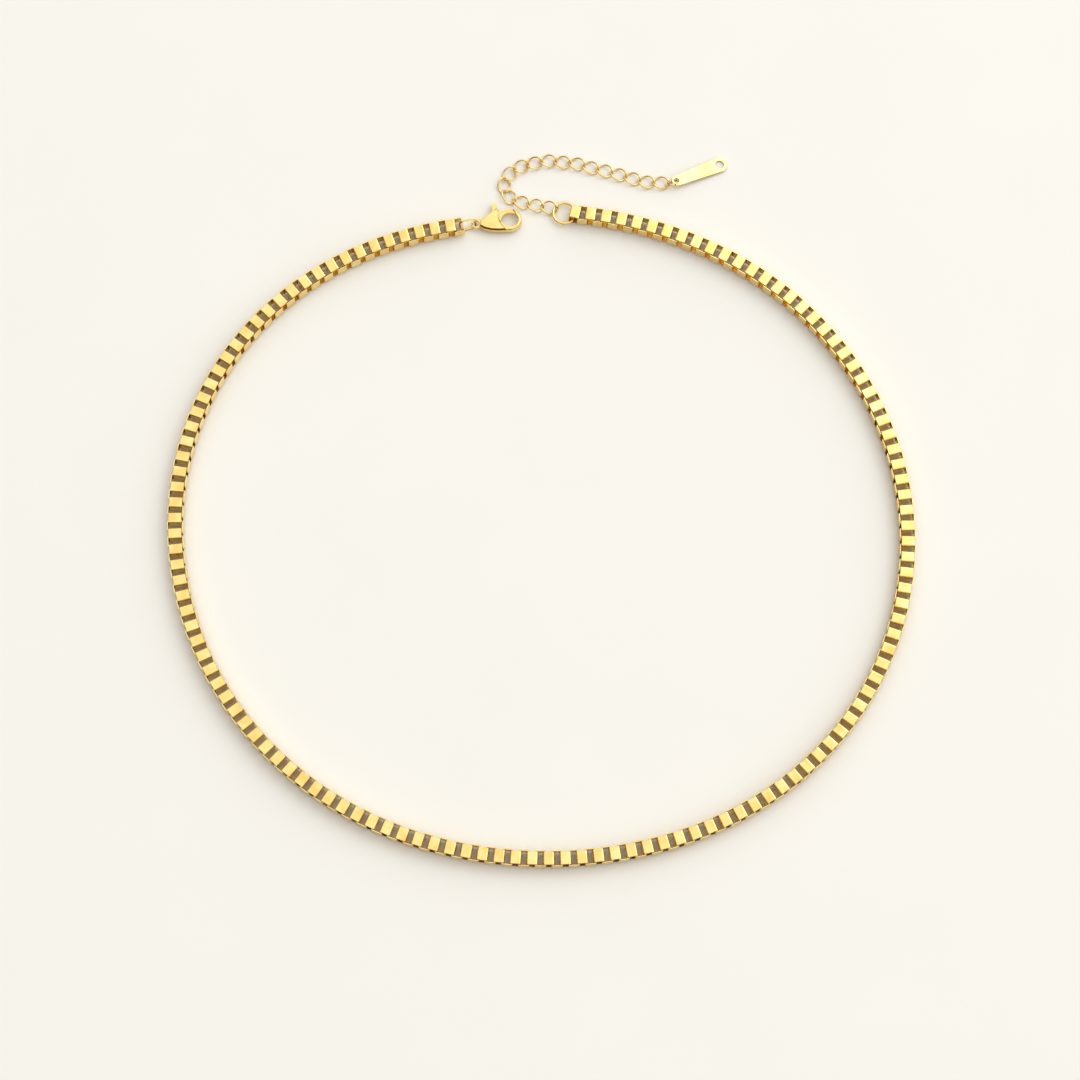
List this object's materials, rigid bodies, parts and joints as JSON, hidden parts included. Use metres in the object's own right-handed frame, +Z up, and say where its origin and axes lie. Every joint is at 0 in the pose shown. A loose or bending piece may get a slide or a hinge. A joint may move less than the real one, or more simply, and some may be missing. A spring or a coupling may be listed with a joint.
{
  "type": "chain necklace",
  "caption": "Closed box chain necklace with a lobster clasp, catch ring, curb extender chain and a flat drilled tag.",
  "frame": {"origin": "middle of the bounding box, on the table the necklace lies on", "axes": "+Z up from the table, -Y towards the front of the necklace, +X to the ring's side"},
  "size_m": [0.14, 0.1392, 0.003],
  "materials": {
    "box_chain": "polished gold-coloured plating",
    "findings": "polished gold-coloured plating",
    "spring_wire": "bright drawn wire"
  },
  "bodies": {
    "chain_01": {"chain_01": "box_chain"},
    "chain_02": {"chain_02": "box_chain"},
    "chain_03": {"chain_03": "box_chain"},
    "chain_04": {"chain_04": "box_chain"},
    "chain_05": {"chain_05": "box_chain"},
    "chain_06": {"chain_06": "box_chain"},
    "chain_07": {"chain_07": "box_chain"},
    "chain_08": {"chain_08": "box_chain"},
    "chain_09": {"chain_09": "box_chain"},
    "chain_10": {"chain_10": "box_chain"},
    "chain_11": {"chain_11": "box_chain"},
    "chain_12": {"chain_12": "box_chain"},
    "chain_13": {"chain_13": "box_chain"},
    "chain_14": {"chain_14": "box_chain"},
    "chain_15": {"chain_15": "box_chain"},
    "chain_16": {"chain_16": "box_chain"},
    "chain_17": {"chain_17": "box_chain"},
    "chain_18": {"chain_18": "box_chain"},
    "chain_19": {"chain_19": "box_chain"},
    "chain_20": {"chain_20": "box_chain"},
    "chain_21": {"chain_21": "box_chain"},
    "chain_22": {"chain_22": "box_chain"},
    "chain_23": {"chain_23": "box_chain"},
    "chain_24": {"chain_24": "box_chain"},
    "chain_25": {"chain_25": "box_chain"},
    "chain_26": {"chain_26": "box_chain"},
    "chain_27": {"chain_27": "box_chain"},
    "chain_28": {"chain_28": "box_chain"},
    "chain_29": {"chain_29": "box_chain"},
    "chain_30": {"chain_30": "box_chain"},
    "chain_31": {"chain_31": "box_chain"},
    "chain_32": {"chain_32": "box_chain"},
    "chain_33": {"chain_33": "box_chain"},
    "chain_34": {"chain_34": "box_chain"},
    "chain_35": {"chain_35": "box_chain"},
    "clasp_link": {"clasp_link": "findings"},
    "clasp_body": {"clasp_body": "findings", "clasp_rivet": "findings", "clasp_spring": "spring_wire"},
    "clasp_lever": {"clasp_lever": "findings"},
    "catch_ring": {"catch_ring": "findings"},
    "extender_01": {"extender_01": "findings"},
    "extender_02": {"extender_02": "findings"},
    "extender_03": {"extender_03": "findings"},
    "extender_04": {"extender_04": "findings"},
    "extender_05": {"extender_05": "findings"},
    "extender_06": {"extender_06": "findings"},
    "extender_07": {"extender_07": "findings"},
    "extender_08": {"extender_08": "findings"},
    "extender_09": {"extender_09": "findings"},
    "extender_10": {"extender_10": "findings"},
    "extender_11": {"extender_11": "findings"},
    "extender_12": {"extender_12": "findings"},
    "extender_13": {"extender_13": "findings"},
    "extender_14": {"extender_14": "findings"},
    "extender_15": {"extender_15": "findings"},
    "extender_16": {"extender_16": "findings"},
    "extender_17": {"extender_17": "findings"},
    "tag_ring": {"tag_ring": "findings"},
    "tag": {"tag": "findings"}
  },
  "joints": [
    {"name": "clasp_lever_press", "type": "hinge", "parent": "clasp_body", "child": "clasp_lever", "pos_m": [-0.00905, 0.05484, 0.00101], "axis": [0, 0, -1], "range_deg": [0, 16], "stiffness_Nm_per_rad": 0.002, "springref_deg": -5.73, "deforming": ["clasp_spring"]},
    {"name": "clasp_swivel", "type": "hinge", "parent": "clasp_link", "child": "clasp_body", "pos_m": [-0.01269, 0.05522, 0.00101], "axis": [0, 0, 1], "range_deg": [-25, 0]},
    {"name": "clasp_link_swing", "type": "hinge", "parent": "chain_01", "child": "clasp_link", "pos_m": [-0.01508, 0.05458, 0.0015], "axis": [0, 0, 1], "range_deg": [-12, 0]},
    {"name": "ring_lift", "type": "hinge", "parent": "chain_35", "child": "catch_ring", "pos_m": [0.0065, 0.0569, 0.00088], "axis": [0.2283, 0.9736, 0], "range_deg": [0, 25]},
    {"name": "extender_swing_01", "type": "hinge", "parent": "catch_ring", "child": "extender_01", "pos_m": [0.00247, 0.05818, 0.00088], "axis": [0, 0, 1], "range_deg": [-12, 6]},
    {"name": "extender_swing_02", "type": "hinge", "parent": "extender_01", "child": "extender_02", "pos_m": [0.00022, 0.0588, 0.00084], "axis": [0, 0, -1], "range_deg": [-10, 12]},
    {"name": "extender_swing_03", "type": "hinge", "parent": "extender_02", "child": "extender_03", "pos_m": [-0.00251, 0.0594, 0.00076], "axis": [0, 0, 1], "range_deg": [-12, 12]},
    {"name": "extender_swing_04", "type": "hinge", "parent": "extender_03", "child": "extender_04", "pos_m": [-0.00503, 0.06031, 0.00071], "axis": [0, 0, -1], "range_deg": [-12, 8]},
    {"name": "extender_swing_05", "type": "hinge", "parent": "extender_04", "child": "extender_05", "pos_m": [-0.00668, 0.06205, 0.00065], "axis": [0, 0, 1], "range_deg": [-12, 12]},
    {"name": "extender_swing_06", "type": "hinge", "parent": "extender_05", "child": "extender_06", "pos_m": [-0.00665, 0.06438, 0.00063], "axis": [0, 0, -1], "range_deg": [-12, 8]},
    {"name": "extender_swing_07", "type": "hinge", "parent": "extender_06", "child": "extender_07", "pos_m": [-0.00508, 0.06631, 0.00063], "axis": [0, 0, 1], "range_deg": [-12, 12]},
    {"name": "extender_swing_08", "type": "hinge", "parent": "extender_07", "child": "extender_08", "pos_m": [-0.00268, 0.06744, 0.00063], "axis": [0, 0, -1], "range_deg": [-12, 12]},
    {"name": "extender_swing_09", "type": "hinge", "parent": "extender_08", "child": "extender_09", "pos_m": [-0.00001, 0.06806, 0.00063], "axis": [0, 0, 1], "range_deg": [-12, 12]},
    {"name": "extender_swing_10", "type": "hinge", "parent": "extender_09", "child": "extender_10", "pos_m": [0.00272, 0.06817, 0.00063], "axis": [0, 0, -1], "range_deg": [-12, 12]},
    {"name": "extender_swing_11", "type": "hinge", "parent": "extender_10", "child": "extender_11", "pos_m": [0.00548, 0.06788, 0.00063], "axis": [0, 0, 1], "range_deg": [-12, 12]},
    {"name": "extender_swing_12", "type": "hinge", "parent": "extender_11", "child": "extender_12", "pos_m": [0.00821, 0.06733, 0.00063], "axis": [0, 0, -1], "range_deg": [-12, 12]},
    {"name": "extender_swing_13", "type": "hinge", "parent": "extender_12", "child": "extender_13", "pos_m": [0.01091, 0.0666, 0.00063], "axis": [0, 0, 1], "range_deg": [-12, 12]},
    {"name": "extender_swing_14", "type": "hinge", "parent": "extender_13", "child": "extender_14", "pos_m": [0.01363, 0.06587, 0.00063], "axis": [0, 0, -1], "range_deg": [-12, 12]},
    {"name": "extender_swing_15", "type": "hinge", "parent": "extender_14", "child": "extender_15", "pos_m": [0.01634, 0.06507, 0.00063], "axis": [0, 0, 1], "range_deg": [-12, 12]},
    {"name": "extender_swing_16", "type": "hinge", "parent": "extender_15", "child": "extender_16", "pos_m": [0.01903, 0.0643, 0.00063], "axis": [0, 0, -1], "range_deg": [-12, 12]},
    {"name": "extender_swing_17", "type": "hinge", "parent": "extender_16", "child": "extender_17", "pos_m": [0.02176, 0.06384, 0.00063], "axis": [0, 0, 1], "range_deg": [-12, 12]},
    {"name": "tag_ring_swing", "type": "hinge", "parent": "extender_17", "child": "tag_ring", "pos_m": [0.02479, 0.06363, 0.0009], "axis": [0, 0, 1], "range_deg": [-10, 10]},
    {"name": "tag_swing", "type": "hinge", "parent": "tag_ring", "child": "tag", "pos_m": [0.02624, 0.064, 0.00098], "axis": [0, 0, 1], "range_deg": [-15, 15]},
    {"name": "left_turn_01", "type": "hinge", "parent": "chain_18", "child": "chain_17", "pos_m": [-0.00089, -0.06812, 0.0015], "axis": [0, 0, 1], "range_deg": [0, 8]},
    {"name": "right_turn_01", "type": "hinge", "parent": "chain_18", "child": "chain_19", "pos_m": [0.01115, -0.0675, 0.0015], "axis": [0, 0, 1], "range_deg": [-8, 0]},
    {"name": "left_lift_02", "type": "hinge", "parent": "chain_17", "child": "chain_16", "pos_m": [-0.0114, -0.06718, 0.0015], "axis": [0.1542, 0.988, 0], "range_deg": [0, 6.5]},
    {"name": "right_lift_02", "type": "hinge", "parent": "chain_19", "child": "chain_20", "pos_m": [0.02151, -0.06548, 0.0015], "axis": [0.2586, -0.966, 0], "range_deg": [0, 6.5]},
    {"name": "left_turn_03", "type": "hinge", "parent": "chain_16", "child": "chain_15", "pos_m": [-0.02312, -0.06439, 0.0015], "axis": [0, 0, 1], "range_deg": [0, 8]},
    {"name": "right_turn_03", "type": "hinge", "parent": "chain_20", "child": "chain_21", "pos_m": [0.03287, -0.0614, 0.0015], "axis": [0, 0, 1], "range_deg": [-8, 0]},
    {"name": "left_lift_04", "type": "hinge", "parent": "chain_15", "child": "chain_14", "pos_m": [-0.03286, -0.0604, 0.0015], "axis": [0.4486, 0.8937, 0], "range_deg": [0, 6.5]},
    {"name": "right_lift_04", "type": "hinge", "parent": "chain_21", "child": "chain_22", "pos_m": [0.04208, -0.05624, 0.0015], "axis": [0.5584, -0.8296, 0], "range_deg": [0, 6.5]},
    {"name": "left_turn_05", "type": "hinge", "parent": "chain_14", "child": "chain_13", "pos_m": [-0.04188, -0.05495, 0.0015], "axis": [0, 0, 1], "range_deg": [0, 8]},
    {"name": "right_turn_05", "type": "hinge", "parent": "chain_22", "child": "chain_23", "pos_m": [0.0503, -0.04963, 0.0015], "axis": [0, 0, 1], "range_deg": [-8, 0]},
    {"name": "left_lift_06", "type": "hinge", "parent": "chain_13", "child": "chain_12", "pos_m": [-0.05096, -0.04704, 0.0015], "axis": [0.7245, 0.6893, 0], "range_deg": [0, 6.5]},
    {"name": "right_lift_06", "type": "hinge", "parent": "chain_23", "child": "chain_24", "pos_m": [0.05811, -0.04045, 0.0015], "axis": [0.8235, -0.5673, 0], "range_deg": [0, 6.5]},
    {"name": "left_turn_07", "type": "hinge", "parent": "chain_12", "child": "chain_11", "pos_m": [-0.05756, -0.03884, 0.0015], "axis": [0, 0, 1], "range_deg": [0, 8]},
    {"name": "right_turn_07", "type": "hinge", "parent": "chain_24", "child": "chain_25", "pos_m": [0.06329, -0.03126, 0.0015], "axis": [0, 0, 1], "range_deg": [-8, 0]},
    {"name": "left_lift_08", "type": "hinge", "parent": "chain_11", "child": "chain_10", "pos_m": [-0.06335, -0.02828, 0.0015], "axis": [0.9183, 0.3959, 0], "range_deg": [0, 6.5]},
    {"name": "right_lift_08", "type": "hinge", "parent": "chain_25", "child": "chain_26", "pos_m": [0.06708, -0.01983, 0.0015], "axis": [0.9764, -0.2161, 0], "range_deg": [0, 6.5]},
    {"name": "left_turn_09", "type": "hinge", "parent": "chain_10", "child": "chain_09", "pos_m": [-0.06671, -0.01829, 0.0015], "axis": [0, 0, 1], "range_deg": [0, 8]},
    {"name": "right_turn_09", "type": "hinge", "parent": "chain_26", "child": "chain_27", "pos_m": [0.06844, -0.00938, 0.0015], "axis": [0, 0, 1], "range_deg": [-8, 0]},
    {"name": "left_lift_10", "type": "hinge", "parent": "chain_09", "child": "chain_08", "pos_m": [-0.06843, -0.00638, 0.0015], "axis": [0.9989, 0.0458, 0], "range_deg": [0, 6.5]},
    {"name": "right_lift_10", "type": "hinge", "parent": "chain_27", "child": "chain_28", "pos_m": [0.06775, 0.00265, 0.0015], "axis": [0.9879, 0.1553, 0], "range_deg": [0, 6.5]},
    {"name": "left_turn_11", "type": "hinge", "parent": "chain_08", "child": "chain_07", "pos_m": [-0.06799, 0.00415, 0.0015], "axis": [0, 0, 1], "range_deg": [-6.5, 1]},
    {"name": "right_turn_11", "type": "hinge", "parent": "chain_28", "child": "chain_29", "pos_m": [0.06523, 0.01288, 0.0015], "axis": [0, 0, 1], "range_deg": [-8, 0]},
    {"name": "left_lift_12", "type": "hinge", "parent": "chain_07", "child": "chain_06", "pos_m": [-0.06567, 0.01443, 0.0015], "axis": [0.9513, -0.3082, 0], "range_deg": [0, 6.5]},
    {"name": "right_lift_12", "type": "hinge", "parent": "chain_29", "child": "chain_30", "pos_m": [0.06101, 0.02253, 0.0015], "axis": [0.8792, 0.4765, 0], "range_deg": [0, 6.5]},
    {"name": "left_turn_13", "type": "hinge", "parent": "chain_06", "child": "chain_05", "pos_m": [-0.06076, 0.02543, 0.0015], "axis": [0, 0, 1], "range_deg": [-6.5, 1]},
    {"name": "right_turn_13", "type": "hinge", "parent": "chain_30", "child": "chain_31", "pos_m": [0.05428, 0.03251, 0.0015], "axis": [0, 0, 1], "range_deg": [-8, 0]},
    {"name": "left_lift_14", "type": "hinge", "parent": "chain_05", "child": "chain_04", "pos_m": [-0.05461, 0.03399, 0.0015], "axis": [0.7535, -0.6575, 0], "range_deg": [0, 6.5]},
    {"name": "right_lift_14", "type": "hinge", "parent": "chain_31", "child": "chain_32", "pos_m": [0.04693, 0.04005, 0.0015], "axis": [0.6554, 0.7553, 0], "range_deg": [0, 6.5]},
    {"name": "left_turn_15", "type": "hinge", "parent": "chain_04", "child": "chain_03", "pos_m": [-0.04576, 0.04218, 0.0015], "axis": [0, 0, 1], "range_deg": [-6.5, 1]},
    {"name": "right_turn_15", "type": "hinge", "parent": "chain_32", "child": "chain_33", "pos_m": [0.03715, 0.04706, 0.0015], "axis": [0, 0, 1], "range_deg": [-8, 0]},
    {"name": "left_lift_16", "type": "hinge", "parent": "chain_03", "child": "chain_02", "pos_m": [-0.03679, 0.04774, 0.0015], "axis": [0.4514, -0.8923, 0], "range_deg": [0, 6.5]},
    {"name": "right_lift_16", "type": "hinge", "parent": "chain_33", "child": "chain_34", "pos_m": [0.02769, 0.0517, 0.0015], "axis": [0.3721, 0.9282, 0], "range_deg": [0, 6.5]},
    {"name": "left_turn_17", "type": "hinge", "parent": "chain_02", "child": "chain_01", "pos_m": [-0.02557, 0.05217, 0.0015], "axis": [0, 0, 1], "range_deg": [-6.5, 3.5]},
    {"name": "right_turn_17", "type": "hinge", "parent": "chain_34", "child": "chain_35", "pos_m": [0.01619, 0.05527, 0.0015], "axis": [0, 0, 1], "range_deg": [-8, 0]}
  ]
}
